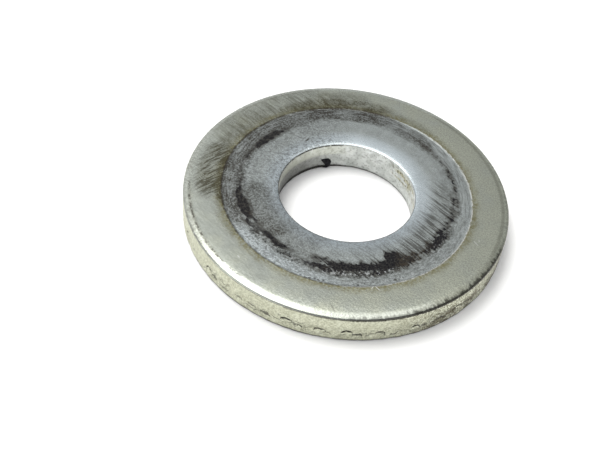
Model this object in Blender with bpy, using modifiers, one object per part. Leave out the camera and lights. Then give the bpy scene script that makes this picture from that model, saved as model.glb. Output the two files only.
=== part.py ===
"""Heavy flat washer for an M10 bolt: 10.5 mm bore, 25 mm outside diameter, 2.5 mm thick.

It is one blanked piece of plated steel plate. The punch side is up: both upper edges are rolled over by
the die, and a bolt flange has pressed a shallow round seat into the upper face. Both lower edges are the
sharp break-out side, with a small chamfer.

Frame: metres, +Z up along the bore axis, origin at the centre of the lower face.
"""

import math

import bpy

# Driving dimensions
OUTER_DIAMETER = 0.025
BORE_DIAMETER = 0.0105
THICKNESS = 0.0025

# Die roll: the edge sinks by the depth over the width, along a quarter of an ellipse
RIM_ROLL_WIDTH = 0.0006
RIM_ROLL_DEPTH = 0.0003
BORE_ROLL_WIDTH = 0.0003
BORE_ROLL_DEPTH = 0.00012
ROLL_STEPS = 6

# Seat pressed by the bolt flange: a flat floor and a narrow sloping shoulder
SEAT_DIAMETER = 0.0193
SEAT_DEPTH = 0.00002
SEAT_SHOULDER = 0.00014

# Break-out side
LOWER_CHAMFER = 0.0001

TURN_STEPS = 160
MERGE_DISTANCE = 0.00001
SHARP_ANGLE = math.radians(35)

# Plating: bright zinc with a faint yellow-green passivation
ZINC_COLOUR = (0.62, 0.63, 0.56, 1.0)
ZINC_ROUGHNESS = 0.32
ZINC_METALLIC = 1.0

OUTER_RADIUS = OUTER_DIAMETER / 2
BORE_RADIUS = BORE_DIAMETER / 2
SEAT_RADIUS = SEAT_DIAMETER / 2
SEAT_HEIGHT = THICKNESS - SEAT_DEPTH


def clear_scene():
    """Remove every object of the startup scene."""
    for obj in list(bpy.data.objects):
        bpy.data.objects.remove(obj)


def rolled_edge(wall_radius, width, depth, top):
    """Points of one die-rolled edge, from the flat face out to the wall.

    The edge runs outwards for a positive width and inwards, towards the bore, for a negative one.
    """
    points = []
    for step in range(ROLL_STEPS + 1):
        angle = math.pi / 2 * step / ROLL_STEPS
        radius = wall_radius - width * (1 - math.sin(angle))
        height = top - depth * (1 - math.cos(angle))
        points.append((radius, height))
    return points


def washer_profile():
    """Closed half section as (radius, height), running down the outer side and up the bore."""
    bore_edge = rolled_edge(BORE_RADIUS, -BORE_ROLL_WIDTH, BORE_ROLL_DEPTH, SEAT_HEIGHT)
    seat_floor_edge = (SEAT_RADIUS - SEAT_SHOULDER, SEAT_HEIGHT)
    seat_upper_edge = (SEAT_RADIUS, THICKNESS)
    rim_edge = rolled_edge(OUTER_RADIUS, RIM_ROLL_WIDTH, RIM_ROLL_DEPTH, THICKNESS)
    rim_foot = [
        (OUTER_RADIUS, LOWER_CHAMFER),
        (OUTER_RADIUS - LOWER_CHAMFER, 0.0),
    ]
    bore_foot = [
        (BORE_RADIUS + LOWER_CHAMFER, 0.0),
        (BORE_RADIUS, LOWER_CHAMFER),
    ]
    upper_face = list(reversed(bore_edge)) + [seat_floor_edge, seat_upper_edge]
    return upper_face + rim_edge + rim_foot + bore_foot


def turned_object(name, profile):
    """Object made by turning a closed profile a full turn round Z."""
    mesh = bpy.data.meshes.new(name)
    corners = [(radius, 0.0, height) for radius, height in profile]
    edges = [(i, (i + 1) % len(corners)) for i in range(len(corners))]
    mesh.from_pydata(corners, edges, [])
    obj = bpy.data.objects.new(name, mesh)
    turn = obj.modifiers.new("Turn", "SCREW")
    turn.axis = "Z"
    turn.angle = math.tau
    turn.steps = TURN_STEPS
    turn.render_steps = TURN_STEPS
    turn.use_merge_vertices = True
    turn.merge_threshold = MERGE_DISTANCE
    turn.use_smooth_shade = True
    return obj


def zinc_plating():
    """Principled material of the bright zinc plating."""
    material = bpy.data.materials.new("zinc_plating")
    material.use_nodes = True
    shader = material.node_tree.nodes["Principled BSDF"]
    shader.inputs["Base Color"].default_value = ZINC_COLOUR
    shader.inputs["Roughness"].default_value = ZINC_ROUGHNESS
    shader.inputs["Metallic"].default_value = ZINC_METALLIC
    return material


def build_washer(collection):
    """The washer itself, the object's only piece."""
    washer = turned_object("washer", washer_profile())
    collection.objects.link(washer)
    washer.data.materials.append(zinc_plating())
    return washer


def main():
    clear_scene()
    collection = bpy.data.collections.new("flat_washer")
    bpy.context.scene.collection.children.link(collection)
    build_washer(collection)


main()
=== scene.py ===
"""Looks of a used, zinc-plated flat washer.

The washer is one dense turned mesh, with its wear, its grease and its rough blanked wall. Lengths are in
millimetres while the mesh is shaped, and become metres when it is written. Angles are in degrees, measured
round the bore axis from +X, anticlockwise seen from above. Left is -X, right is +X and the front is -Y.
"""

import itertools
import math

import bpy
import numpy as np
from mathutils import Matrix, Vector


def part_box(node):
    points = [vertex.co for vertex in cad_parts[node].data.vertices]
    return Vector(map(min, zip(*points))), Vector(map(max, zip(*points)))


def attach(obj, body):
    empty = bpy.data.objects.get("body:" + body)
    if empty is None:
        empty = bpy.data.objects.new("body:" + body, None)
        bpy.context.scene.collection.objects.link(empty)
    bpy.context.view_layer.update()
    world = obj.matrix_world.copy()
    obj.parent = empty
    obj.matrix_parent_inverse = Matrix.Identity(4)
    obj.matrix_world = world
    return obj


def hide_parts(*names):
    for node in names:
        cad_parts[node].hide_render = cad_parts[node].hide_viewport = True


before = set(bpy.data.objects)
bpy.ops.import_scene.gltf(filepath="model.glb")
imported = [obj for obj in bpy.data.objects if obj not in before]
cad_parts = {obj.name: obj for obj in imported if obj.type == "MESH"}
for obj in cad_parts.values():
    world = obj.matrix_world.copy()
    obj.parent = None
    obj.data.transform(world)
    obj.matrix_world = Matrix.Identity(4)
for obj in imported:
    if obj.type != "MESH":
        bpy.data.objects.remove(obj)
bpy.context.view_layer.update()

MM = 0.001
washer_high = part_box("washer")[1]
RIM_R = washer_high.x / MM
THICK = washer_high.z / MM
BORE_R = 0.42 * RIM_R

# ---------------------------------------- section of the washer, mm
# radius and slope of the face in degrees, from where it starts to fall away to each edge
RIM_FALL = [
    (0.85 * RIM_R, 0.0),
    (0.92 * RIM_R, 1.6),
    (0.952 * RIM_R, 4.2),
    (0.970 * RIM_R, 11.5),
    (RIM_R, 16.0),
]
BORE_FALL = [
    (0.62 * RIM_R, 0.0),
    (0.50 * RIM_R, 1.3),
    (0.455 * RIM_R, 3.0),
    (0.441 * RIM_R, 6.0),
    (0.430 * RIM_R, 12.0),
    (BORE_R, 17.0),
]
RIM_BREAK_R = 0.961 * RIM_R   # where the face breaks into the die roll
RIM_CORNER = 0.12
BORE_CORNER = 0.03
SEAT_R = 0.772 * RIM_R
SEAT_DEPTH = 0.02
SEAT_SHOULDER = 0.14
SEAT_BAND_R = 8.5             # the scuffed band of the seat starts here
RIDGE_HEIGHT = 0.006
RIDGE_WIDTH = 0.04
FOOT_CORNER = 0.10
LAND_FOOT_Z = 0.46 * THICK    # the smooth sheared land above, the torn break-out zone below

# relief, mm
GREASE_HEIGHT = 0.035
GREASE_RAGGED = 0.11   # how far the edge of the grease wanders
CRUMB_RAGGED = 0.30    # how uneven the crumb is, as a share of its height
WAVE_HEIGHT = 0.004
SCUFF_HEIGHT = 0.004
EDGE_FADE = 0.3        # the face's relief fades out this close to its edges
CRACK_DEPTH = 0.07
CRACK_WIDTH = 0.07
CRACK_WANDER = 0.05
TORN_STEP = 0.0175     # the torn zone lies this far inside the land
TORN_HEIGHT = 0.022
TORN_GRAIN = (0.4, 0.4, 0.3)
WALL_HEIGHT = 0.003
BORE_TORN_STEP = 0.03
BORE_TORN_HEIGHT = 0.015

TURN_STEPS = 820
FACE_SHARES = (9, 24, 6, 11, 5, 5)   # rings of vertices in each stretch of the face, from the bore outwards
WALL_STEPS = 24
UNDER_STEPS = 3
BORE_STEPS = 15
CORNER_STEPS = 6
FOOT_STEPS = 3


# ---------------------------------------- numbers and noise
def smooth(value, low, high):
    """0 below low, 1 above high, and a smooth rise between."""
    t = np.clip((value - low) / (high - low), 0, 1)
    return t * t * (3 - 2 * t)


def turn_gap(angle, centre):
    """Signed difference of two angles in degrees, from -180 to 180."""
    return (angle - centre + 180) % 360 - 180


LATTICE = 64   # the noise repeats after this many blots


def noise(points, grain, seed):
    """Smooth random numbers from -1 to 1 at each point; grain is the size of a blot, or its three sizes."""
    lattice = np.random.default_rng(seed).uniform(-1, 1, (LATTICE,) * 3)
    cell = points / np.asarray(grain, float)
    base = np.floor(cell).astype(int)
    part = cell - base
    part = part * part * (3 - 2 * part)
    total = np.zeros(points.shape[:-1])
    for corner in itertools.product((0, 1), repeat=3):
        weight = np.prod(np.where(corner, part, 1 - part), axis=-1)
        index = (base + corner) % LATTICE
        total += weight * lattice[index[..., 0], index[..., 1], index[..., 2]]
    return total


def rough_noise(points, grain, seed, octaves=3):
    """Noise with finer blots added at half the size and half the strength each time."""
    total = 0
    for octave in range(octaves):
        total = total + noise(points, np.asarray(grain, float) / 2**octave, seed + octave) / 2**octave
    return total


# ---------------------------------------- what lies on the upper face
# Each blot is a start angle, an end angle, an inner radius, an outer radius and a strength.

# black grease squeezed out round the bolt flange; its last number is its thickness, and a blot thinner than
# 0.1 breaks up into specks and strokes
GREASE = [
    (133, 150, 7.94, 8.30, 0.22),
    (137, 159, 7.96, 8.54, 0.36),
    (152, 176, 8.30, 8.50, 0.12),
    (182, 196, 8.06, 8.26, 0.11),
    (190, 207, 7.98, 8.58, 0.36),
    (196, 215, 7.78, 8.48, 0.36),
    (212, 221, 7.76, 7.96, 0.14),
    (206, 231, 8.26, 8.54, 0.17),
    (218, 236, 7.90, 8.12, 0.12),
    (225, 244, 7.60, 8.14, 0.24),
    (238, 262, 8.30, 8.46, 0.12),
    (252, 263, 8.00, 8.20, 0.10),
    (256, 274, 7.90, 8.46, 0.30),
    (257, 269, 7.36, 7.80, 0.03),
    (264, 306, 7.42, 8.26, 0.35),
    (264, 300, 8.18, 8.60, 0.03),
    (291, 309, 7.42, 8.50, 0.35),
    (298, 308, 6.72, 8.20, 0.30),
    (302, 317, 7.62, 8.50, 0.07),
    (304, 315, 7.70, 8.36, 0.18),
    (318, 346, 7.72, 8.48, 0.06),
    (320, 340, 7.84, 8.42, 0.18),
    (341, 353, 7.96, 8.22, 0.06),
    (348, 366, 8.10, 8.30, 0.03),
    (360, 388, 8.42, 8.58, 0.06),
    (384, 410, 8.42, 8.54, 0.04),
]

# thin brown-grey dirt
SMEARS = [
    (0, 720, 4.00, 9.20, 0.10),
    (0, 200, 6.40, 8.60, 0.26),
    (300, 380, 6.20, 9.00, 0.30),
    (345, 385, 7.00, 9.00, 0.45),
    (-35, 80, 8.50, 9.80, 0.28),
    (8, 48, 7.60, 9.20, 0.42),
    (18, 66, 8.48, 8.80, 0.75),
    (35, 82, 7.80, 9.10, 0.62),
    (44, 80, 8.00, 9.60, 0.72),
    (52, 82, 9.40, 10.60, 0.35),
    (64, 128, 7.95, 10.20, 0.92),
    (76, 106, 8.05, 8.80, 0.94),
    (104, 168, 7.60, 10.10, 0.77),
    (148, 214, 7.60, 10.10, 0.80),
    (162, 202, 9.20, 10.30, 0.98),
    (182, 240, 5.60, 8.40, 0.74),
    (196, 216, 7.20, 8.40, 0.90),
    (194, 262, 5.40, 7.60, 0.42),
    (234, 262, 4.90, 6.20, 0.30),
    (194, 218, 8.40, 9.70, 0.70),
    (222, 268, 7.00, 8.40, 0.50),
    (254, 304, 8.20, 9.00, 0.60),
    (270, 356, 8.60, 9.60, 0.32),
    (300, 350, 8.20, 8.90, 0.45),
    (70, 134, 9.30, 11.10, 0.80),
    (84, 118, 9.60, 11.90, 0.48),
    (106, 166, 10.00, 12.70, 0.34),
    (126, 172, 9.30, 11.50, 0.55),
    (160, 198, 9.20, 11.80, 0.66),
    (172, 196, 9.40, 10.60, 0.72),
    (196, 222, 9.40, 10.50, 0.30),
    (140, 232, 11.80, 13.40, 0.30),
    (188, 224, 11.95, 13.40, 0.42),
    (294, 350, 11.95, 13.40, 0.45),
]

# straight dark brush marks
BRUSHED = [
    (284, 384, 6.00, 8.40, 1.00),
    (262, 384, 5.60, 7.60, 0.50),
    (95, 168, 9.60, 12.00, 0.60),
]

# straight dark rub marks across those
CROSSED = [
    (162, 198, 9.10, 11.90, 1.00),
]

# crumbs of grease and bright flecks
SPECKS = [
    (262, 304, 8.22, 8.88, 0.90),
    (255, 270, 9.30, 9.62, 0.90),
    (276, 286, 9.20, 9.60, 0.70),
    (294, 303, 9.15, 9.45, 0.80),
    (212, 262, 8.00, 8.80, 0.90),
    (186, 216, 8.40, 9.30, 0.45),
    (158, 214, 7.70, 8.90, 0.50),
    (318, 350, 8.20, 8.80, 0.50),
]

# scuffed bare metal on the seat band
SCUFFS = [
    (206, 350, 8.30, 10.00, 0.84),
    (120, 215, 8.30, 10.00, 0.75),
    (-30, 140, 8.30, 10.00, 0.64),
]

# clean bright plating by the bore, partly a painted highlight on its rolled edge, and a faint patch at the
# seat's edge
POLISHED_AND_HIGHLIGHT = [
    (5, 125, 3.60, 6.90, 1.00),
    (-30, 60, 3.80, 6.90, 0.60),
    (105, 168, 3.90, 6.10, 0.75),
    (150, 196, 4.40, 6.00, 0.30),
    (206, 274, 8.50, 10.10, 0.36),
]

# Each arc is a start angle, an end angle and a strength: dirt and painted shade in the foot of the seat's
# edge, a painted glint on its top, a beaded scratch round the rim's break, a darker olive band along the
# rim and a painted dark reflection on its very edge.
SEAT_DIRT_AND_SHADE = [(72, 150, 0.8), (132, 225, 1.0), (212, 300, 0.6), (290, 335, 0.35)]
SEAT_PAINTED_GLINT = [(-75, 66, 1.0), (272, 300, 0.5)]
RIM_LINE = [(186, 240, 1.0)]
RIM_OLIVE_BAND = [(-25, 62, 0.8), (105, 160, 0.5), (188, 229, 0.6)]
RIM_PAINTED_DARK_REFLECTION = [(184, 229, 0.2), (276, 300, 0.6), (296, 346, 0.90), (334, 390, 0.35)]

# angle, radius, length, direction, half width, name of a shade in MARK_SHADES: single marks
MARKS = [
    (127, 6.29, 0.62, 62, 0.075, "dark"),
    (231, 10.90, 0.35, 130, 0.030, "pale"),
    (289, 9.86, 0.55, 140, 0.045, "pale"),
    (287, 9.74, 0.30, 60, 0.035, "pale"),
    (341, 10.60, 0.60, 132, 0.030, "pale"),
    (343, 10.70, 0.35, 95, 0.025, "pale"),
    (271.5, 11.70, 0.90, 122, 0.070, "faint"),
    (260, 9.50, 0.28, 10, 0.060, "dark"),
    (264, 9.46, 0.30, 150, 0.050, "dark"),
    (281, 9.48, 0.16, 20, 0.060, "dark"),
    (298, 9.32, 0.30, 160, 0.050, "dark"),
    (246, 8.60, 0.90, 158, 0.035, "dark"),
]

# angle, height, half width, half height, how far it stands out: one crumb of dried grease stuck to the
# bore wall
CRUMB = [
    (115.6, 0.94, 0.27, 0.17, 0.19),
    (113.5, 0.79, 0.35, 0.26, 0.25),
    (111.9, 0.58, 0.31, 0.25, 0.23),
    (111.4, 0.36, 0.25, 0.22, 0.18),
    (112.6, 0.12, 0.40, 0.12, 0.14),
]


def blot_depth(radius, angle, start, end, inner, outer):
    """How far inside a blot's edge a point is, in mm; the blot is a lens bent round the axis."""
    middle = (inner + outer) / 2
    half_width = (outer - inner) / 2
    along = turn_gap(angle, (start + end) / 2) / ((end - start) / 2)
    across = (radius - middle) / half_width
    return half_width * (1 - np.sqrt(along**4 + across**2))


def grease_depth(radius, angle, points):
    """Depth inside the nearest grease blot, in mm, with a ragged edge."""
    ragged = GREASE_RAGGED * rough_noise(points, 0.5, 11)
    depth = np.full(radius.shape, -1.0)
    for start, end, inner, outer, thickness in GREASE:
        blot = blot_depth(radius + ragged, angle, start, end, inner, outer)
        depth = np.maximum(depth, np.minimum(blot, thickness))
    return depth


def crumb_height(angle, height, points):
    """How far the crumb stands out of the bore wall, in mm, negative round it."""
    ragged = CRUMB_RAGGED * rough_noise(points, 0.25, 71)
    lift = np.full(angle.shape, -1.0)
    for middle, middle_z, half_width, half_height, depth in CRUMB:
        across = np.radians(turn_gap(angle, middle)) * BORE_R / half_width
        along = (height - middle_z) / half_height
        lift = np.maximum(lift, depth * (1 + ragged - across**2 - along**2))
    return lift


def blot_strength(radius, angle, blots, edge):
    """The strongest of several soft-edged blots at each point, from 0 to 1."""
    total = np.zeros(radius.shape)
    for start, end, inner, outer, strength in blots:
        depth = blot_depth(radius, angle, start, end, inner, outer) / ((outer - inner) / 2)
        total = np.maximum(total, strength * smooth(depth, -0.15, edge))
    return total


def arc_strength(angle, arcs):
    """The strongest of several arcs at each angle, fading over their ends."""
    total = np.zeros(angle.shape)
    for start, end, strength in arcs:
        along = np.abs(turn_gap(angle, (start + end) / 2)) / ((end - start) / 2)
        total = np.maximum(total, strength * (1 - smooth(along, 0.85, 1.0)))
    return total


# ---------------------------------------- height of the upper face
def fall_depth(radius, slopes):
    """Depth at a radius, the slope in degrees changing evenly between the (radius, slope) pairs."""
    depth = 0
    for (start_r, start_slope), (end_r, end_slope) in itertools.pairwise(slopes):
        width = abs(end_r - start_r)
        distance = np.clip((radius - start_r) * np.sign(end_r - start_r), 0, width)
        first = math.tan(math.radians(start_slope))
        last = math.tan(math.radians(end_slope))
        depth = depth + first * distance + (last - first) * distance**2 / (2 * width)
    return depth


def face_height(radius):
    """Height of the clean upper face at a radius."""
    height = THICK - fall_depth(radius, RIM_FALL) - fall_depth(radius, BORE_FALL)
    height = height - SEAT_DEPTH * (1 - smooth(radius, SEAT_R - SEAT_SHOULDER, SEAT_R))
    return height + RIDGE_HEIGHT * np.exp(-(((radius - SEAT_R) / RIDGE_WIDTH) ** 2))


def corner(wall_r, corner_r, slope, outwards):
    """Where a corner arc leaves the face, and its points down to the wall, as (radius, height)."""
    leave_r = wall_r - outwards * corner_r * (1 - math.sin(slope))
    leave_z = float(face_height(np.array(leave_r)))
    middle_z = leave_z - corner_r * math.cos(slope)
    arc = []
    for step in range(1, CORNER_STEPS + 1):
        turned = slope + (math.pi / 2 - slope) * step / CORNER_STEPS
        radius = wall_r - outwards * corner_r * (1 - math.sin(turned))
        arc.append((radius, middle_z + corner_r * math.cos(turned)))
    return leave_r, arc


def foot(wall_r, outwards):
    """The quarter circle from a wall down to the underside, as (radius, height)."""
    middle_r = wall_r - outwards * FOOT_CORNER
    arc = []
    for step in range(FOOT_STEPS + 1):
        turned = math.pi / 2 * step / FOOT_STEPS
        radius = middle_r + outwards * FOOT_CORNER * math.cos(turned)
        arc.append((radius, FOOT_CORNER * (1 - math.sin(turned))))
    return arc


RIM_LEAVE_R, RIM_ARC = corner(RIM_R, RIM_CORNER, math.radians(RIM_FALL[-1][1]), 1)
BORE_LEAVE_R, BORE_ARC = corner(BORE_R, BORE_CORNER, math.radians(BORE_FALL[-1][1]), -1)
RIM_EDGE_Z = RIM_ARC[-1][1]
BORE_EDGE_Z = BORE_ARC[-1][1]

# ---------------------------------------- cracks torn in the wall
# start angle, end angle, height of the feet, height of the arch, strength
CRACKS = [
    (205.0, 208.5, 0.75, 0.22, 0.7),
    (222.5, 226.5, 0.62, 0.42, 1.0),
    (226.0, 229.0, 0.50, 0.26, 0.8),
    (231.0, 234.0, 0.42, 0.20, 0.6),
    (238.0, 241.0, 0.60, 0.18, 0.6),
    (243.0, 246.5, 0.72, 0.14, 0.6),
    (247.5, 252.0, 0.45, 0.30, 0.8),
    (255.0, 259.6, 0.66, 0.44, 1.0),
    (259.8, 263.0, 0.52, 0.26, 0.9),
    (266.2, 270.6, 0.62, 0.34, 0.9),
    (275.0, 279.6, 0.58, 0.46, 1.0),
    (279.0, 282.5, 0.46, 0.24, 0.9),
    (286.2, 290.0, 0.50, 0.40, 1.0),
    (298.5, 301.8, 0.60, 0.34, 1.0),
    (302.0, 305.0, 0.48, 0.26, 0.8),
    (308.0, 311.0, 0.50, 0.34, 0.9),
    (314.5, 319.0, 0.80, 0.36, 1.0),
    (320.0, 323.5, 0.62, 0.30, 0.8),
    (332.0, 337.0, 0.60, 0.35, 0.8),
    (350.0, 356.0, 0.55, 0.45, 0.8),
    (9.0, 15.0, 0.60, 0.40, 0.9),
    (27.0, 31.0, 0.50, 0.40, 0.6),
    (44.0, 51.0, 0.62, 0.45, 1.0),
    (63.0, 67.0, 0.55, 0.30, 0.7),
    (80.0, 87.0, 0.48, 0.50, 0.9),
    (101.0, 106.0, 0.62, 0.40, 0.8),
    (118.0, 125.0, 0.55, 0.45, 1.0),
    (139.0, 143.0, 0.60, 0.30, 0.7),
    (155.0, 162.0, 0.50, 0.50, 0.9),
    (176.0, 181.0, 0.62, 0.35, 0.8),
    (192.0, 197.0, 0.55, 0.40, 0.8),
]


def crack_height(angle):
    """Height of the crack line at each angle, below the washer where there is none, and its strength."""
    height = np.full(angle.shape, -1.0)
    strength = np.zeros(angle.shape)
    for start, end, feet, arch, weight in CRACKS:
        along = turn_gap(angle, (start + end) / 2) / ((end - start) / 2)
        inside = np.abs(along) < 1
        bow = feet + arch * np.sqrt(np.clip(1 - along**2, 0, 1))
        height = np.where(inside, bow, height)
        strength = np.where(inside, weight * smooth(1 - np.abs(along), 0, 0.12), strength)
    return height, strength


# ---------------------------------------- the mesh
FACE, WALL, UNDER, BORE = range(4)


def face_radii():
    """Radii of the rings of vertices over the face, close together where it bends."""
    breaks = [BORE_LEAVE_R, BORE_FALL[2][0], SEAT_R - 1.5 * SEAT_SHOULDER, SEAT_R + SEAT_SHOULDER]
    breaks += [RIM_FALL[-3][0], RIM_FALL[-2][0], RIM_LEAVE_R]
    radii = []
    for inner, outer, count in zip(breaks, breaks[1:], FACE_SHARES):
        radii += list(np.linspace(inner, outer, count, endpoint=False))
    return radii + [RIM_LEAVE_R]


def stations():
    """(radius, height, zone) of each ring of vertices, outwards over the face and back below."""
    wall_z = np.linspace(RIM_EDGE_Z, FOOT_CORNER, WALL_STEPS, endpoint=False)
    under_r = np.linspace(RIM_R - FOOT_CORNER, BORE_R + FOOT_CORNER, UNDER_STEPS + 1)
    bore_z = np.linspace(BORE_EDGE_Z, FOOT_CORNER, BORE_STEPS, endpoint=False)[::-1]
    rings = [(r, float(face_height(np.array(r))), FACE) for r in face_radii()]
    rings += [(r, z, FACE) for r, z in RIM_ARC[:-1]]
    rings += [(RIM_R, z, WALL) for z in wall_z]
    rings += [(r, z, WALL) for r, z in foot(RIM_R, 1)[:-1]]
    rings += [(r, 0.0, UNDER) for r in under_r]
    rings += [(r, z, BORE) for r, z in reversed(foot(BORE_R, -1)[:-1])]
    rings += [(BORE_R, z, BORE) for z in bore_z]
    rings += [(r, z, BORE) for r, z in reversed(BORE_ARC[:-1])]
    return rings


def turned_points(radius, angle, height):
    """Points from their radii, angles in degrees and heights."""
    turn = np.radians(angle)
    return np.stack([radius * np.cos(turn), radius * np.sin(turn), height], axis=-1)


def face_relief(radius, angle, points, grease):
    """Lumps of grease, slow waves and turned scuffs on the upper face, in mm."""
    lumps = 0.5 + 0.5 * rough_noise(points, 0.35, 31)
    relief = GREASE_HEIGHT * smooth(grease, -0.02, 0.25) * lumps
    relief = relief + WAVE_HEIGHT * rough_noise(points, 1.6, 37)
    turn = np.radians(angle)
    rings_of_scuff = np.stack([radius * 9, np.cos(turn) * 2, np.sin(turn) * 2], axis=-1)
    scuffed = smooth(radius, SEAT_BAND_R, SEAT_BAND_R + 0.3) * (1 - smooth(radius, SEAT_R - 0.1, SEAT_R))
    relief = relief + SCUFF_HEIGHT * scuffed * noise(rings_of_scuff, 1, 41)
    inner_edge = smooth(radius, BORE_R, BORE_R + EDGE_FADE)
    outer_edge = 1 - smooth(radius, RIM_R - EDGE_FADE, RIM_R)
    return relief * inner_edge * outer_edge


def wall_inset(height, points, gap, crack):
    """How far the outer wall lies inside the full radius, in mm: the torn break-out zone and the cracks."""
    groove = CRACK_DEPTH * crack * np.exp(-((gap / CRACK_WIDTH) ** 2))
    torn = 1 - smooth(height, LAND_FOOT_Z - 0.15, LAND_FOOT_Z + 0.15)
    torn_depth = TORN_STEP + TORN_HEIGHT * rough_noise(points, TORN_GRAIN, 59)
    inset = torn * torn_depth + groove + WALL_HEIGHT * rough_noise(points, 0.5, 61)
    return np.clip(inset, 0, None)


def bore_shift(height, points, crumb):
    """How far the bore wall lies outside the bore's radius, in mm: its torn lower half, less the crumb."""
    torn = 1 - smooth(height, 0.3 * THICK, 0.5 * THICK)
    inset = torn * (BORE_TORN_STEP + BORE_TORN_HEIGHT * rough_noise(points, TORN_GRAIN, 67))
    return np.clip(inset, 0, None) - np.clip(crumb, 0, None)


# field's name: its blots, and how deep inside a blot it is full
BLOT_FIELDS = {
    "smear": (SMEARS, 0.5),
    "brushed": (BRUSHED, 0.6),
    "crossed": (CROSSED, 0.6),
    "polished_and_highlight": (POLISHED_AND_HIGHLIGHT, 0.9),
    "specks": (SPECKS, 0.4),
    "scuffs": (SCUFFS, 0.3),
}
ARC_FIELDS = {
    "seat_dirt_and_shade": SEAT_DIRT_AND_SHADE,
    "seat_painted_glint": SEAT_PAINTED_GLINT,
    "rim_line": RIM_LINE,
    "rim_olive_band": RIM_OLIVE_BAND,
    "rim_painted_dark_reflection": RIM_PAINTED_DARK_REFLECTION,
}


def washer_mesh():
    """The whole washer as one closed mesh with its relief, and the fields its materials read."""
    rings = np.array(stations())
    zones = rings[:, 2].astype(int)
    angle, radius = np.meshgrid(np.arange(TURN_STEPS) * 360 / TURN_STEPS, rings[:, 0])
    height = np.repeat(rings[:, 1:2], TURN_STEPS, axis=1)
    points = turned_points(radius, angle, height)

    fields = {name: blot_strength(radius, angle, *blots) for name, blots in BLOT_FIELDS.items()}
    fields |= {name: arc_strength(angle, arcs) for name, arcs in ARC_FIELDS.items()}
    cloud = 0.95 + 0.26 * rough_noise(points, 0.9, 23)
    fields["smear"] = np.clip(fields["smear"] * cloud, 0, 1)
    fields["grease"] = grease_depth(radius, angle, points)

    on_zone = zones[:, None]
    relief = face_relief(radius, angle, points, fields["grease"])
    height = height + np.where(on_zone == FACE, relief, 0)
    crack_z, crack = crack_height(angle)
    gap = height - crack_z + CRACK_WANDER * rough_noise(points, 0.45, 53)
    crumb = crumb_height(angle, height, points)
    radius = radius - np.where(on_zone == WALL, wall_inset(height, points, gap, crack), 0)
    radius = radius + np.where(on_zone == BORE, bore_shift(height, points, crumb), 0)
    fields |= {"crack_gap": gap, "crack": crack, "crumb": crumb}
    return mesh_from_rings(turned_points(radius, angle, height) * MM, zones, fields)


def mesh_from_rings(points, zones, fields):
    """A closed mesh through rings of points, from the last ring back to the first, with its fields."""
    index = np.arange(len(zones) * TURN_STEPS).reshape(len(zones), TURN_STEPS)
    below = np.roll(index, -1, axis=0)
    faces = np.stack([index, below, np.roll(below, -1, axis=1), np.roll(index, -1, axis=1)], axis=-1)
    mesh = bpy.data.meshes.new("washer_body")
    mesh.from_pydata(points.reshape(-1, 3).tolist(), [], faces.reshape(-1, 4).tolist())
    for name, field in fields.items():
        layer = mesh.attributes.new(name, "FLOAT", "POINT")
        layer.data.foreach_set("value", field.astype(np.float32).ravel())
    mesh.polygons.foreach_set("material_index", np.repeat(zones, TURN_STEPS).astype(np.int32))
    mesh.polygons.foreach_set("use_smooth", np.ones(len(mesh.polygons), bool))
    mesh.update()
    return mesh


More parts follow.
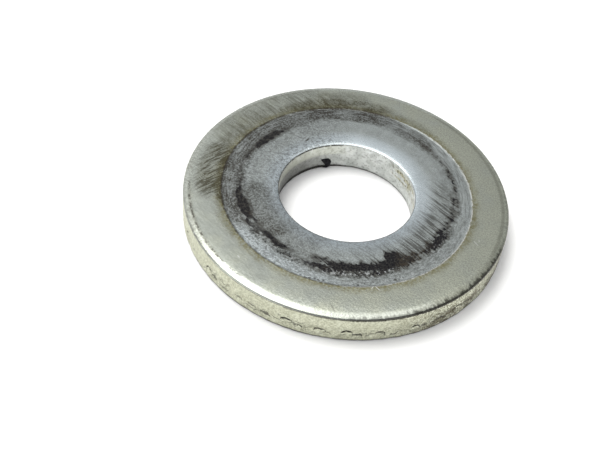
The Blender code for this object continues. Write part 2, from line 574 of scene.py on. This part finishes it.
# ---------------------------------------- material building
class Nodes:
    """One Principled material, short calls that add nodes to it, and the colour laid so far."""

    def __init__(self, name):
        self.material = bpy.data.materials.new(name)
        self.material.use_nodes = True
        self.tree = self.material.node_tree
        self.shader = self.tree.nodes["Principled BSDF"]
        coords = self.add("ShaderNodeTexCoord")
        self.place = self.vector("MULTIPLY", coords.outputs["Object"], (1 / MM,) * 3)
        self.x, self.y, self.z = self.split(self.place)
        squares = self.plus(self.math("POWER", self.x, 2), self.math("POWER", self.y, 2))
        self.radius = self.math("SQRT", squares)
        self.colour = None

    def add(self, kind, **settings):
        """Adds a node with its settings."""
        node = self.tree.nodes.new(kind)
        for key, value in settings.items():
            setattr(node, key, value)
        return node

    def feed(self, socket, value):
        """Links a socket, or sets a plain value."""
        if isinstance(value, bpy.types.NodeSocket):
            self.tree.links.new(value, socket)
        elif socket.type == "RGBA" and len(value) == 3:
            socket.default_value = (*value, 1)
        else:
            socket.default_value = value

    def math(self, operation, first, second=0.0, clamp=False):
        node = self.add("ShaderNodeMath", operation=operation, use_clamp=clamp)
        self.feed(node.inputs[0], first)
        self.feed(node.inputs[1], second)
        return node.outputs[0]

    def times(self, product, *others, clamp=False):
        for other in others:
            product = self.math("MULTIPLY", product, other, clamp)
        return product

    def plus(self, first, second):
        return self.math("ADD", first, second)

    def minus(self, first, second):
        return self.math("SUBTRACT", first, second)

    def larger(self, first, second):
        return self.math("MAXIMUM", first, second)

    def vector(self, operation, first, second):
        node = self.add("ShaderNodeVectorMath", operation=operation)
        self.feed(node.inputs[0], first)
        self.feed(node.inputs[1], second)
        return node.outputs[0]

    def split(self, vector):
        """The three numbers of a vector."""
        node = self.add("ShaderNodeSeparateXYZ")
        self.feed(node.inputs[0], vector)
        return node.outputs

    def join(self, x, y, z):
        """A vector from three numbers."""
        node = self.add("ShaderNodeCombineXYZ")
        for socket, value in zip(node.inputs, (x, y, z)):
            self.feed(socket, value)
        return node.outputs[0]

    def field(self, name):
        """One of the mesh's own fields."""
        return self.add("ShaderNodeAttribute", attribute_name=name).outputs["Fac"]

    def noise(self, scale, detail=3, where=None, distortion=0.0):
        """Noise from 0 to 1, mostly near 0.5; scale is blots per mm."""
        node = self.add("ShaderNodeTexNoise")
        self.feed(node.inputs["Vector"], where if where is not None else self.place)
        for name, value in (("Scale", scale), ("Detail", detail), ("Distortion", distortion)):
            node.inputs[name].default_value = value
        return node.outputs["Fac"]

    def sway(self, noise, amount):
        """Noise made to swing either side of zero, times an amount."""
        return self.times(self.minus(noise, 0.5), amount)

    def rise(self, value, low, high, to_low=0.0, to_high=1.0):
        """Smooth step of a value between low and high."""
        node = self.add("ShaderNodeMapRange", interpolation_type="SMOOTHSTEP")
        self.feed(node.inputs["Value"], value)
        for socket, number in zip(node.inputs[1:5], (low, high, to_low, to_high)):
            socket.default_value = number
        return node.outputs["Result"]

    def around(self, value, centre, core, edge):
        """1 where a value is within core of the centre, falling to 0 at edge."""
        return self.rise(self.math("ABSOLUTE", self.minus(value, centre)), core, edge, 1, 0)

    def between(self, factor, first, second):
        """A value that goes from the first to the second as the factor goes from 0 to 1."""
        node = self.add("ShaderNodeMix", data_type="FLOAT")
        for socket, value in zip(node.inputs[0:1] + node.inputs[2:4], (factor, first, second)):
            self.feed(socket, value)
        return node.outputs[0]

    def blend(self, factor, first, second):
        """A colour that goes from the first to the second as the factor goes from 0 to 1."""
        node = self.add("ShaderNodeMix", data_type="RGBA")
        self.feed(node.inputs[0], factor)
        self.feed(node.inputs[6], first)
        self.feed(node.inputs[7], second)
        return node.outputs[2]

    def coat(self, colour, *masks):
        """Lays a colour over what is there, as strongly as the product of the masks says."""
        self.colour = self.blend(self.times(*masks), self.colour, colour)

    def lay(self, direction, along=1, across=1, middle=(0, 0, 0)):
        """Coordinates along and across one direction of the face, each times a number."""
        node = self.add("ShaderNodeMapping", vector_type="TEXTURE")
        self.feed(node.inputs["Vector"], self.place)
        self.feed(node.inputs["Location"], middle)
        self.feed(node.inputs["Rotation"], (0, 0, math.radians(direction)))
        self.feed(node.inputs["Scale"], (1 / along, 1 / across, 1))
        return node.outputs[0]

    def mark(self, angle, radius, length, direction, half_width):
        """1 on a short straight mark at a place on the face, with tapered ends."""
        turn = math.radians(angle)
        middle = (radius * math.cos(turn), radius * math.sin(turn), 0)
        x, y, _ = self.split(self.lay(direction, middle=middle))
        along = self.around(x, 0.0, 0.1 * length, 0.6 * length)
        across = self.around(y, 0.0, 0.4 * half_width, 1.3 * half_width)
        return self.times(along, across)

    def rings(self, along, across):
        """Coordinates stretched round the axis, for marks left by something that turned."""
        unit = self.vector("DIVIDE", self.place, self.join(self.radius, self.radius, 1.0))
        around = self.vector("MULTIPLY", unit, (along, along, 0))
        return self.vector("ADD", around, self.join(0.0, 0.0, self.times(self.radius, across)))

    def bump(self, height, distance):
        """A bump of that many mm from full to no height."""
        node = self.add("ShaderNodeBump")
        node.inputs["Strength"].default_value = 1
        node.inputs["Distance"].default_value = distance * MM
        self.feed(node.inputs["Height"], height)
        self.feed(self.shader.inputs["Normal"], node.outputs[0])

    def finish(self, roughness, metallic, specular=0.5):
        """Feeds the shader the colour laid so far and its other values."""
        names = ("Base Color", "Roughness", "Metallic", "Specular IOR Level")
        for name, value in zip(names, (self.colour, roughness, metallic, specular)):
            self.feed(self.shader.inputs[name], value)
        return self.material


OLIVE_ZINC = (0.555, 0.575, 0.475)
NEUTRAL_ZINC = (0.565, 0.595, 0.53)
RUBBED_HIGHLIGHT_ZINC = (0.67, 0.70, 0.63)
BLUE_ZINC = (0.63, 0.70, 0.73)
BLUE_ZINC_DARK = (0.56, 0.615, 0.635)
POLISHED_HIGHLIGHT_ZINC = (0.86, 0.945, 0.98)
GREEN_ZINC = (0.60, 0.645, 0.63)
GREEN_ZINC_DARK = (0.535, 0.575, 0.555)
CREAM_ZINC = (0.60, 0.61, 0.48)
CREAM_ZINC_DARK = (0.505, 0.51, 0.39)
PALE_CREAM = (0.90, 0.91, 0.80)
BORE_ZINC = (0.615, 0.635, 0.61)
BORE_ZINC_DARK = (0.47, 0.49, 0.465)
STAIN = (0.31, 0.285, 0.145)
DIRT = (0.078, 0.074, 0.064)
EARTH = (0.095, 0.088, 0.052)
GREASE_BLACK = (0.0045, 0.0045, 0.0065)
GREASE_BROWN = (0.045, 0.035, 0.022)
FLECK = (0.82, 0.85, 0.86)
WHITE_SCRATCH = (0.97, 0.97, 0.93)
CRACK_BROWN = (0.12, 0.105, 0.065)
CRACK_BLACK = (0.018, 0.016, 0.012)
MARK_SHADES = {"dark": (GREASE_BROWN, 0.95), "pale": (WHITE_SCRATCH, 0.8), "faint": (DIRT, 0.3)}
BRUSH_DIRECTION = 142
RUB_DIRECTION = 47
UNDERSIDE_BRUSH_DIRECTION = 197


class FaceNodes(Nodes):
    """The upper face's material: each method lays one layer over the last."""

    def __init__(self):
        super().__init__("zinc_upper_face")
        self.front = self.rise(self.y, 0.4 * RIM_R, -0.7 * RIM_R)
        self.left = self.rise(self.x, 0.1 * RIM_R, -0.3 * RIM_R)
        self.right = self.rise(self.x, -0.5 * RIM_R, 0.1 * RIM_R)
        self.cloud = self.noise(0.55, 3)
        self.grain = self.noise(5.5, 3)
        self.fine = self.noise(8.0, 2)
        self.teeth = self.noise(1.0, 3, self.rings(42.0, 1.2))
        self.streaks = self.noise(1.0, 3, self.lay(BRUSH_DIRECTION, 0.45, 8.0))
        self.strokes = self.noise(1.0, 3, self.lay(BRUSH_DIRECTION, 1.8, 5.5))
        self.rubs = self.noise(1.0, 4, self.lay(RUB_DIRECTION, 1.2, 9.5))
        long_scuffs = self.noise(1.0, 3, self.rings(10.0, 8.5))
        short_scuffs = self.noise(1.0, 3, self.rings(24.0, 7.5))
        nearest = self.rise(self.y, -0.15 * RIM_R, -0.50 * RIM_R)
        self.scuff = self.between(nearest, long_scuffs, short_scuffs)
        self.seat_radius = self.plus(self.radius, self.sway(self.noise(3.0), 0.10))
        self.outside = self.rise(self.seat_radius, SEAT_R - 0.05, SEAT_R + 0.03)
        self.inside = self.minus(1.0, self.outside)

    def plating(self):
        """Olive outside the seat, greenish silver inside, bluer by the bore and brighter on the rim; the
        bright plating by the bore and on the rim away from +X is partly a painted highlight.
        """
        olive_share = self.rise(self.plus(self.cloud, self.times(self.x, 0.02)), 0.25, 0.75)
        olive = self.blend(olive_share, NEUTRAL_ZINC, OLIVE_ZINC)
        patch = self.rise(self.noise(1.6, 5), 0.3, 0.7)
        green = self.blend(patch, GREEN_ZINC_DARK, GREEN_ZINC)
        blue = self.blend(patch, BLUE_ZINC_DARK, BLUE_ZINC)
        silver = self.blend(self.rise(self.radius, 0.43 * RIM_R, 0.56 * RIM_R), blue, green)
        # painted highlight: this field brightens the plating where the bore's rolled edge should shine
        silver = self.blend(self.field("polished_and_highlight"), silver, POLISHED_HIGHLIGHT_ZINC)
        self.colour = self.blend(self.outside, silver, olive)
        # worn brighter plating on the rim, partly a painted highlight, left off the +X side
        rubbed_and_highlight_rim = self.rise(self.radius, RIM_BREAK_R - 0.1, RIM_BREAK_R + 0.2)
        self.coat(RUBBED_HIGHLIGHT_ZINC, rubbed_and_highlight_rim, self.rise(self.x, 0.75 * RIM_R, 0.35 * RIM_R))

    def stain(self):
        """A yellow-brown stain just outside the seat."""
        stain_radius = self.plus(self.seat_radius, self.sway(self.noise(1.1, 4), 0.9))
        stain = self.times(self.outside, self.rise(stain_radius, SEAT_R, SEAT_R + 0.80, 0.95, 0))
        self.coat(STAIN, self.times(stain, self.rise(self.grain, 0.3, 0.7, 0.35, 1.1), clamp=True))

    def turned_scuffs(self):
        """Scuffs turned into the seat band by the bolt head, with dark grooves and bright ridges."""
        turned = self.times(self.field("scuffs"), self.inside)
        groove = self.times(turned, self.rise(turned, 0.0, 1.0, 0.80, 0.34))
        self.coat(DIRT, self.rise(self.scuff, 0.48, 0.62), groove)
        ridge = self.times(turned, turned, 0.50)
        self.coat(FLECK, self.rise(self.scuff, 0.48, 0.34), ridge)

    def straight_marks(self):
        """Dark brush marks, and rub marks across them."""
        brown = self.blend(self.outside, DIRT, EARTH)
        self.coat(brown, self.rise(self.streaks, 0.48, 0.58), self.field("brushed"), 0.72)
        self.coat(DIRT, self.rise(self.rubs, 0.47, 0.57), self.field("crossed"), 0.80)

    def thin_dirt(self):
        """Thin dirt, caught in the grain, in the turned scuffs and in the rub marks, and faint strokes."""
        band = self.rise(self.radius, 0.68 * RIM_R, 0.71 * RIM_R)
        inner_catch = self.between(band, self.grain, self.scuff)
        outer_catch = self.between(self.field("crossed"), self.strokes, self.rubs)
        catch = self.between(self.outside, inner_catch, outer_catch)
        catch = self.plus(self.times(self.fine, 0.50), self.times(catch, 0.50))
        self.smear = self.times(self.field("smear"), self.rise(catch, 0.40, 0.60, 0.60, 1.20), clamp=True)
        self.coat(self.blend(self.outside, DIRT, EARTH), self.smear)
        self.coat(EARTH, self.rise(self.strokes, 0.44, 0.60), self.times(self.outside, self.left), 0.10)

    def seat_edge(self):
        """Dirt and painted shade in the foot of the seat's edge, and a painted glint on its top."""
        broken = self.rise(self.noise(2.4, 3), 0.40, 0.54, 0.25, 1.0)
        # a dark line in the foot of the seat's edge: dirt and painted shade
        foot_dirt_and_shade = self.around(self.seat_radius, SEAT_R - 0.01, 0.04, 0.13)
        self.coat(GREASE_BROWN, foot_dirt_and_shade, self.field("seat_dirt_and_shade"), broken, 0.80)
        # a painted glint: a thin white line along the top of the seat's edge
        painted_glint_line = self.around(self.seat_radius, SEAT_R + 0.01, 0.02, 0.07)
        self.coat(WHITE_SCRATCH, painted_glint_line, self.field("seat_painted_glint"), broken, 0.75)

    def outer_and_bore_edges(self):
        """A beaded scratch and a darker olive band round the rim; painted shade on the bore's top edge and
        the rim's corner, and a painted dark reflection on the rim's edge, mostly in front on the +X side.
        """
        scratch = self.around(self.seat_radius, RIM_BREAK_R + 0.03, 0.03, 0.12)
        beads = self.rise(self.grain, 0.42, 0.56)
        self.coat(DIRT, scratch, self.field("rim_line"), beads, 0.85)
        # a darker olive band along the rim's break
        olive_band = self.around(self.seat_radius, 0.962 * RIM_R, 0.05, 0.22)
        self.coat(EARTH, olive_band, self.field("rim_olive_band"), 0.38)
        # painted shade: a dark ring on the bore's top edge
        self.coat(DIRT, self.rise(self.radius, BORE_R + 0.03, BORE_R + 0.10, 0.65, 0))
        # painted shade: a black line on the rim's corner, heavier towards +X
        edge_radius = self.plus(self.radius, self.times(self.grain, 0.06))
        rim_edge_painted_shade = self.rise(edge_radius, RIM_R - 0.03, RIM_R + 0.02, 0, 0.8)
        self.coat(CRACK_BLACK, rim_edge_painted_shade, self.rise(self.x, -0.5 * RIM_R, 0.0, 0.25, 1.0))
        # painted dark reflection: black on the rim's edge, with ragged teeth
        toothed_radius = self.plus(self.radius, self.sway(self.teeth, 0.90))
        shade = self.rise(toothed_radius, 0.978 * RIM_R, 0.996 * RIM_R)
        self.coat(CRACK_BLACK, shade, self.field("rim_painted_dark_reflection"), 0.84)

    def black_grease(self):
        """Black grease in a thin dirty halo, with brown patches, and browner where it has spread at +X."""
        ragged = self.plus(self.sway(self.noise(3.6, 5), 0.60), self.sway(self.streaks, 0.60))
        ragged = self.times(ragged, self.rise(self.left, 0.0, 1.0, 1.0, 0.32))
        depth = self.plus(self.field("grease"), ragged)
        halo = self.blend(self.left, GREASE_BROWN, DIRT)
        self.coat(halo, self.rise(depth, -0.30, 0.0), self.rise(self.noise(1.2), 0.35, 0.6, 0.25, 0.7))
        thin = self.rise(self.fine, 0.62, 0.74, 0, 0.25)
        self.grease = self.times(self.rise(depth, -0.05, 0.09), self.minus(1.0, thin))
        spread = self.around(self.x, 5.5, 0.7, 1.5)
        brown = self.times(spread, self.rise(self.grain, 0.42, 0.62, 0.10, 0.60))
        brown = self.larger(brown, self.rise(self.noise(2.4, 4), 0.58, 0.76, 0, 0.4))
        self.coat(self.blend(brown, GREASE_BLACK, GREASE_BROWN), self.grease)

    def crumbs_and_flecks(self):
        """Black crumbs of grease and bright flecks of plating; no flecks lie in the grease on the left."""
        specks = self.field("specks")
        self.coat(GREASE_BLACK, self.rise(self.grain, 0.56, 0.62), specks, 0.9)
        clean = self.minus(1.0, self.times(self.grease, self.left))
        self.coat(FLECK, self.rise(self.grain, 0.43, 0.38), specks, clean, 0.45)

    def single_marks(self):
        """The scratches and spots that stand out one by one."""
        for *where, shade in MARKS:
            colour, strength = MARK_SHADES[shade]
            self.coat(colour, self.mark(*where), strength)

    def mottle(self):
        """Mottled dirt inside the seat on the left, and fine specks, densest inside in front and left."""
        mottled = self.rise(self.noise(3.2, 4), 0.50, 0.64)
        self.coat(DIRT, mottled, self.times(self.left, self.inside), 0.40)
        outer_specks = self.rise(self.right, 0, 1, 0.42, 0.68)
        amount = self.between(self.outside, self.larger(self.front, self.left), outer_specks)
        self.coat(DIRT, self.rise(self.fine, 0.38, 0.64), self.times(amount, 0.30))

    def relief(self):
        """A bump of grain and brush marks, gentler on the smooth plating outside the seat on the left."""
        rough_rim = self.times(self.teeth, self.rise(self.radius, 0.93 * RIM_R, 0.98 * RIM_R, 0, 1.6))
        small = self.plus(self.times(self.fine, 0.4), rough_rim)
        relief = self.plus(self.plus(self.grain, self.strokes), small)
        gentle = self.between(self.outside, 1.0, self.rise(self.right, 0.0, 1.0, 0.6, 1.0))
        self.bump(self.times(relief, gentle), 0.006)

    def roughness(self):
        """Bright plating, duller where it is dirty or greasy."""
        dull = self.larger(self.grease, self.times(self.smear, 0.5))
        return self.plus(self.rise(self.cloud, 0.3, 0.7, 0.21, 0.27), self.times(dull, 0.20))


def face_material():
    """Two shades of worn zinc under stain, scuffs, thin dirt, black grease and single marks."""
    face = FaceNodes()
    face.plating()
    face.stain()
    face.turned_scuffs()
    face.straight_marks()
    face.thin_dirt()
    face.seat_edge()
    face.outer_and_bore_edges()
    face.black_grease()
    face.crumbs_and_flecks()
    face.single_marks()
    face.mottle()
    face.relief()
    return face.finish(face.roughness(), face.minus(1.0, face.grease), specular=0.07)


def soil_and_shade_wall(wall, blots, grain):
    """Pits, glints and brown dirt on the outer wall, more on the +X side, with painted shade in the same
    brown:
    darker low down and towards +X, and darkest at the +X end.
    """
    plus_x_side = wall.rise(wall.x, 0.30 * RIM_R, 0.72 * RIM_R)
    low = wall.rise(wall.plus(wall.z, wall.times(blots, 0.6)), 0.85 * THICK, 0.45 * THICK)
    pitted = wall.plus(wall.times(low, 0.04), wall.times(plus_x_side, 0.55))
    wall.coat(CRACK_BROWN, wall.times(wall.rise(grain, 0.49, 0.60), wall.plus(0.22, pitted), clamp=True))
    wall.coat(PALE_CREAM, wall.rise(grain, 0.45, 0.36), wall.plus(0.20, wall.times(plus_x_side, 0.55)))
    # brown dirt and painted shade: darker towards +X and low down
    dirt_and_painted_shade = wall.times(wall.rise(wall.noise(1.5, 4), 0.46, 0.58), wall.times(plus_x_side, 0.85))
    wall.coat(CRACK_BROWN, dirt_and_painted_shade, wall.rise(low, 0.0, 1.0, 0.25, 1.0))
    # painted shade: the +X end of the wall darkened
    wall.coat(CRACK_BROWN, wall.rise(wall.x, 0.86 * RIM_R, 0.98 * RIM_R, 0, 0.6))


def crack_lines(wall):
    """1 in the arched cracks, and less in a broken line that joins them and in finer ones between."""
    gap = wall.plus(wall.field("crack_gap"), wall.sway(wall.noise(2.8, 3), 0.34))
    arch = wall.times(wall.around(gap, 0.0, 0.042, 0.098), wall.field("crack"))
    edge_z = wall.plus(wall.z, wall.sway(wall.noise(0.9, 4), 1.6))
    edge = wall.around(edge_z, 0.26 * THICK, 0.015, 0.050)
    edge = wall.times(edge, wall.rise(wall.noise(1.7, 3), 0.42, 0.54))
    thread = wall.around(wall.noise(1.5, 3, distortion=0.6), 0.5, 0.004, 0.016)
    middle = wall.around(wall.z, 0.36 * THICK, 0.10 * THICK, 0.28 * THICK)
    thread = wall.times(thread, wall.rise(wall.noise(0.7, 2), 0.46, 0.56), middle)
    return wall.larger(arch, wall.times(wall.larger(thread, edge), 0.75))


def paint_wall_edge_shade(wall, grain):
    """Painted shade along the outer wall's top edge, heavier towards +X, and a painted contact shadow in
    its bottom corner.
    """
    heavy = wall.rise(wall.x, -0.4 * RIM_R, 0.5 * RIM_R)
    # painted shade along the wall's top edge
    top_z = wall.plus(wall.plus(wall.z, wall.times(grain, 0.14)), wall.times(heavy, 0.05))
    top = wall.rise(top_z, RIM_EDGE_Z - 0.04, RIM_EDGE_Z + 0.05)
    top = wall.times(top, wall.rise(heavy, 0.0, 1.0, 0.60, 0.95))
    # painted contact shadow in the wall's bottom corner
    bottom = wall.rise(wall.plus(wall.z, wall.times(grain, 0.16)), 0.28, 0.14, 0, 0.95)
    wall.coat(CRACK_BLACK, wall.larger(top, bottom))


def wall_material():
    """Creamy zinc on the blanked wall, with pits, brown dirt, black cracks and painted shade."""
    wall = Nodes("zinc_rough_wall")
    blots = wall.noise(1.6, 5)
    grain = wall.noise(7.5, 4)
    wall.colour = wall.blend(wall.rise(blots, 0.3, 0.7), CREAM_ZINC_DARK, CREAM_ZINC)
    soil_and_shade_wall(wall, blots, grain)
    line = crack_lines(wall)
    wall.coat(CRACK_BLACK, line, 0.95)
    paint_wall_edge_shade(wall, grain)
    wall.bump(wall.plus(grain, wall.minus(wall.times(blots, 2.0), line)), 0.03)
    return wall.finish(wall.rise(grain, 0.3, 0.7, 0.40, 0.58), wall.minus(1.0, line), specular=0.15)


def rust_bore(bore, grain):
    """Brown streaks and black specks on the +X side of the bore, above the middle."""
    streaky = bore.noise(1.0, 4, bore.vector("MULTIPLY", bore.place, (1.0, 1.0, 4.5)))
    high = bore.around(bore.z, 0.66 * THICK, 0.12 * THICK, 0.30 * THICK)
    rust = bore.times(high, bore.rise(bore.x, 2.9, 3.9), bore.rise(streaky, 0.44, 0.56))
    bore.coat(STAIN, rust, 0.70)
    bore.coat(CRACK_BLACK, rust, bore.rise(grain, 0.54, 0.62), 0.8)


def shade_bore_left_side(bore):
    """The -X side of the bore: painted shade makes it dull grey, darker in its torn lower half; creamy
    above.
    """
    # painted shade: the -X side of the bore darkened, most in its lower half
    bore.coat(DIRT, bore.rise(bore.x, -2.5, -5.0, 0, 0.40))
    bore.coat(DIRT, bore.rise(bore.x, -0.5, -3.8, 0, 0.50), bore.rise(bore.z, 0.80 * THICK, 0.52 * THICK))
    high = bore.rise(bore.z, 0.52 * THICK, 0.62 * THICK)
    bore.coat(CREAM_ZINC, high, bore.rise(bore.x, 0.5, -2.0, 0, 0.32))


def bore_edge_shade_and_line(bore, grain):
    """A black line of painted contact shadow in the bore's bottom corner, and a broken one at its top edge
    on the -X side.
    """
    # painted contact shadow: a black line in the bore's bottom corner, thicker on the -X side
    foot_z = bore.plus(bore.z, bore.times(grain, 0.20))
    foot_z = bore.minus(foot_z, bore.rise(bore.x, 0.5, -3.5, 0, 0.22))
    bore.coat(CRACK_BLACK, bore.rise(foot_z, 0.32, 0.14, 0, 0.95))
    left = bore.rise(bore.x, 0.0, -1.6, 0, 0.9)
    top = bore.rise(bore.z, BORE_EDGE_Z - 0.12, BORE_EDGE_Z - 0.04)
    bore.coat(CRACK_BLACK, left, bore.rise(bore.noise(3.0), 0.34, 0.50), top)


def bore_material():
    """Grey-green zinc in the bore, with rust, dirt, painted shade and the black crumb."""
    bore = Nodes("zinc_bore_wall")
    blots = bore.noise(1.4, 5)
    grain = bore.noise(5.5, 4)
    bore.colour = bore.blend(bore.rise(blots, 0.35, 0.65), BORE_ZINC_DARK, BORE_ZINC)
    bore.coat(DIRT, bore.rise(grain, 0.50, 0.68, 0, 0.40))
    high = bore.rise(bore.z, 0.5 * THICK, 0.85 * THICK)
    bore.coat(FLECK, bore.rise(bore.noise(1.8, 4), 0.52, 0.66), high, 0.5)
    rust_bore(bore, grain)
    shade_bore_left_side(bore)
    bore_edge_shade_and_line(bore, grain)
    crumb = bore.rise(bore.field("crumb"), 0.0, 0.04)
    bore.coat(GREASE_BLACK, crumb)
    bore.bump(bore.plus(grain, bore.times(blots, 2.0)), 0.02)
    return bore.finish(bore.rise(grain, 0.3, 0.7, 0.34, 0.50), bore.minus(1.0, crumb), specular=0.15)


def underside_material():
    """Olive zinc with light dirt and brush marks."""
    under = Nodes("zinc_underside")
    blots = under.noise(0.9, 5)
    grain = under.noise(6.0, 4)
    streaks = under.noise(1.0, 3, under.lay(UNDERSIDE_BRUSH_DIRECTION, 0.45, 5.0))
    under.colour = under.blend(under.rise(blots, 0.35, 0.65), OLIVE_ZINC, NEUTRAL_ZINC)
    under.coat(DIRT, under.rise(grain, 0.50, 0.70, 0, 0.30))
    under.coat(DIRT, under.rise(streaks, 0.52, 0.66, 0, 0.25))
    under.bump(under.plus(grain, streaks), 0.010)
    return under.finish(under.rise(blots, 0.3, 0.7, 0.28, 0.40), 1.0)


def build_washer():
    """The washer itself; its materials stand in the order of the zones."""
    washer = bpy.data.objects.new("washer_body", washer_mesh())
    bpy.context.scene.collection.objects.link(washer)
    washer.data.materials.append(face_material())
    washer.data.materials.append(wall_material())
    washer.data.materials.append(underside_material())
    washer.data.materials.append(bore_material())
    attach(washer, "root")
    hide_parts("washer")


# ---------------------------------------- camera, light and floor
CAMERA_DISTANCE = 6.452                # in rim radii, from the washer's centre
CAMERA_TARGET = (-0.2522, -0.165, 0)   # in rim radii
CAMERA_ELEVATION = 45.22
CAMERA_ROLL = 6.81
CAMERA_LENS = 61.75
CAMERA_SENSOR = 36


def build_camera():
    """The viewing angle: about 45 degrees down, with a small tilt of the head."""
    elevation = math.radians(CAMERA_ELEVATION)
    roll = math.radians(CAMERA_ROLL)
    target = Vector(CAMERA_TARGET) * RIM_R * MM
    position = Vector((0, -math.cos(elevation), math.sin(elevation))) * (CAMERA_DISTANCE * RIM_R * MM)
    ahead = (target - position).normalized()
    level_right = ahead.cross(Vector((0, 0, 1))).normalized()
    level_up = level_right.cross(ahead)
    right = level_right * math.cos(roll) + level_up * math.sin(roll)
    up = level_up * math.cos(roll) - level_right * math.sin(roll)
    camera = bpy.data.objects.new("camera", bpy.data.cameras.new("camera"))
    camera.data.lens = CAMERA_LENS
    camera.data.sensor_width = CAMERA_SENSOR
    camera.data.clip_start = 0.005
    camera.data.clip_end = 20
    axes = Matrix((right, up, -ahead)).transposed()
    camera.matrix_world = Matrix.Translation(position) @ axes.to_4x4()
    bpy.context.scene.collection.objects.link(camera)
    bpy.context.scene.camera = camera


# name, direction, distance in metres, half angle in degrees, radiance
SOFTBOXES = [
    ("key_softbox", (-0.35, 0.20, 0.91), 1.6, 18, 5.0),
    ("fill_softbox", (-0.25, -0.70, 0.67), 1.6, 25, 1.1),
]
SOFTBOX_COLOUR = (1.0, 0.99, 0.97)


def build_softboxes():
    """A large round softbox almost overhead, and a weak one in front that lifts the shadows.

    Neither shows in reflections: the metal reflects the bright patches of the room instead.
    """
    for name, direction, distance, half_angle, radiance in SOFTBOXES:
        radius = distance * math.tan(math.radians(half_angle))
        light = bpy.data.lights.new(name, "AREA")
        light.shape = "DISK"
        light.size = 2 * radius
        light.energy = radiance * math.pi * math.pi * radius**2
        light.color = SOFTBOX_COLOUR
        lamp = bpy.data.objects.new(name, light)
        aim = Vector(direction).normalized()
        lamp.location = aim * distance
        lamp.rotation_mode = "QUATERNION"
        lamp.rotation_quaternion = aim.to_track_quat("Z", "Y")
        lamp.visible_glossy = False
        bpy.context.scene.collection.objects.link(lamp)


ROOM_GREY = (0.485, 0.495, 0.505)
BACKDROP_WHITE = (1.1, 1.1, 1.08)
# direction, colour, and the cosine of the angle from it where a patch starts and where it is full: a pale
# side on the left, a bright ceiling, a brighter spot up on the left, a darker patch in front on the right
ROOM_PATCHES = [
    ((-0.85, 0.25, 0.30), (0.88, 0.89, 0.91), 0.20, 0.95),
    ((0.02, 0.14, 0.99), (1.40, 1.40, 1.38), 0.868, 0.930),
    ((-0.33, 0.27, 0.90), (3.40, 3.40, 3.35), 0.950, 0.980),
    ((0.821, -0.383, 0.423), (0.34, 0.34, 0.35), 0.76, 0.86),
]


def mix_colours(tree, factor, first, second):
    """A colour that goes from the first, a socket, to the second, a constant, as the factor goes to 1."""
    mix = tree.nodes.new("ShaderNodeMix")
    mix.data_type = "RGBA"
    tree.links.new(factor, mix.inputs[0])
    tree.links.new(first, mix.inputs[6])
    mix.inputs[7].default_value = (*second, 1)
    return mix.outputs[2]


def build_world():
    """A soft grey room with its patches; the background that the camera sees is white."""
    world = bpy.data.worlds.new("studio")
    bpy.context.scene.world = world
    world.use_nodes = True
    tree = world.node_tree
    tree.nodes.clear()
    coords = tree.nodes.new("ShaderNodeTexCoord")
    room = tree.nodes.new("ShaderNodeRGB").outputs[0]
    room.default_value = (*ROOM_GREY, 1)
    for direction, colour, start, full in ROOM_PATCHES:
        dot = tree.nodes.new("ShaderNodeVectorMath")
        dot.operation = "DOT_PRODUCT"
        dot.inputs[1].default_value = Vector(direction).normalized()
        tree.links.new(coords.outputs["Generated"], dot.inputs[0])
        fade = tree.nodes.new("ShaderNodeMapRange")
        fade.interpolation_type = "SMOOTHSTEP"
        fade.inputs["From Min"].default_value = start
        fade.inputs["From Max"].default_value = full
        tree.links.new(dot.outputs["Value"], fade.inputs["Value"])
        room = mix_colours(tree, fade.outputs["Result"], room, colour)
    path = tree.nodes.new("ShaderNodeLightPath")
    room = mix_colours(tree, path.outputs["Is Camera Ray"], room, BACKDROP_WHITE)
    background = tree.nodes.new("ShaderNodeBackground")
    tree.links.new(room, background.inputs["Color"])
    output = tree.nodes.new("ShaderNodeOutputWorld")
    tree.links.new(background.outputs[0], output.inputs["Surface"])


PAPER_HALF = 1.2     # metres
PAPER_DROP = 0.02    # mm below the washer, so that the two don't touch
PAPER_WHITE = (0.97, 0.97, 0.97, 1)


def build_floor():
    """A plain sheet of white paper."""
    paper = bpy.data.materials.new("white_paper")
    paper.use_nodes = True
    shader = paper.node_tree.nodes["Principled BSDF"]
    shader.inputs["Base Color"].default_value = PAPER_WHITE
    shader.inputs["Roughness"].default_value = 0.9
    shader.inputs["Specular IOR Level"].default_value = 0.1
    mesh = bpy.data.meshes.new("floor")
    corners = [(x * PAPER_HALF, y * PAPER_HALF, 0) for x, y in ((-1, -1), (1, -1), (1, 1), (-1, 1))]
    mesh.from_pydata(corners, [], [(0, 1, 2, 3)])
    mesh.materials.append(paper)
    floor = bpy.data.objects.new("floor", mesh)
    floor.location.z = -PAPER_DROP * MM
    bpy.context.scene.collection.objects.link(floor)


bpy.context.scene.view_settings.view_transform = "Standard"
build_camera()
build_softboxes()
build_world()
build_floor()
build_washer()

bpy.context.view_layer.update()
